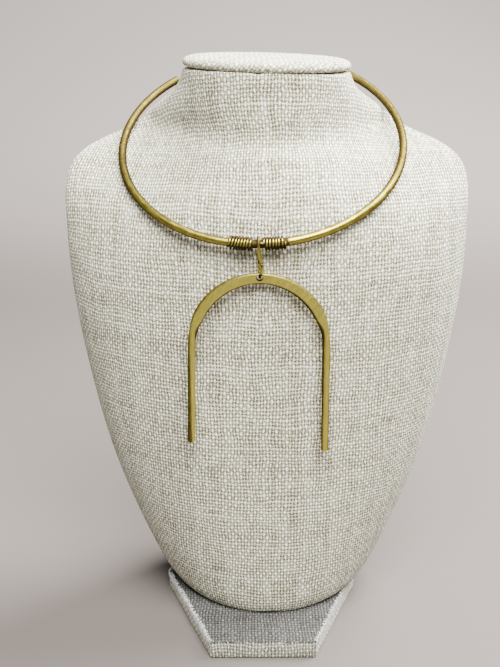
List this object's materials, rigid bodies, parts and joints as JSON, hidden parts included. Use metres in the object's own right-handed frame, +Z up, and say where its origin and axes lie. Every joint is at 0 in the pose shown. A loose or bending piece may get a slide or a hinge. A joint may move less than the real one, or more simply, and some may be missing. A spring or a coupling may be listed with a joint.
{
  "type": "brass neck ring with arch pendant on a neck bust",
  "caption": "Stiff open neck ring of round brass wire with a wire-hung hammered arch pendant that swings and sways, shown on a linen-covered neck bust.",
  "frame": {"origin": "middle of the base plate's underside, on the surface the bust stands on", "axes": "+Z up, the necklace faces -Y, +X to the right of a viewer in front"},
  "size_m": [0.206, 0.1343, 0.2931],
  "materials": {
    "ring_brass": "satin, aged olive gold",
    "coil_brass": "satin, dark between the turns",
    "pendant_brass": "brushed and hammered",
    "bust_linen": "coarse plain weave, cream and tan threads",
    "plate_linen": "coarse plain weave, frayed at the folds"
  },
  "bodies": {
    "stand": {"base_plate": "plate_linen", "bust": "bust_linen", "neck_cap": "bust_linen", "neck_ring": "ring_brass", "left_coil": "coil_brass", "right_coil": "coil_brass"},
    "link": {"pendant_link": "coil_brass"},
    "pendant": {"arch_pendant": "pendant_brass"}
  },
  "joints": [
    {"name": "link_swing", "type": "hinge", "parent": "stand", "child": "link", "pos_m": [-0.00197, -0.04906, 0.21271], "axis": [-1, 0, 0], "range_deg": [0, 150]},
    {"name": "pendant_sway", "type": "hinge", "parent": "link", "child": "pendant", "pos_m": [-0.00137, -0.04906, 0.19701], "axis": [0, 1, 0], "range_deg": [-30, 30]}
  ]
}
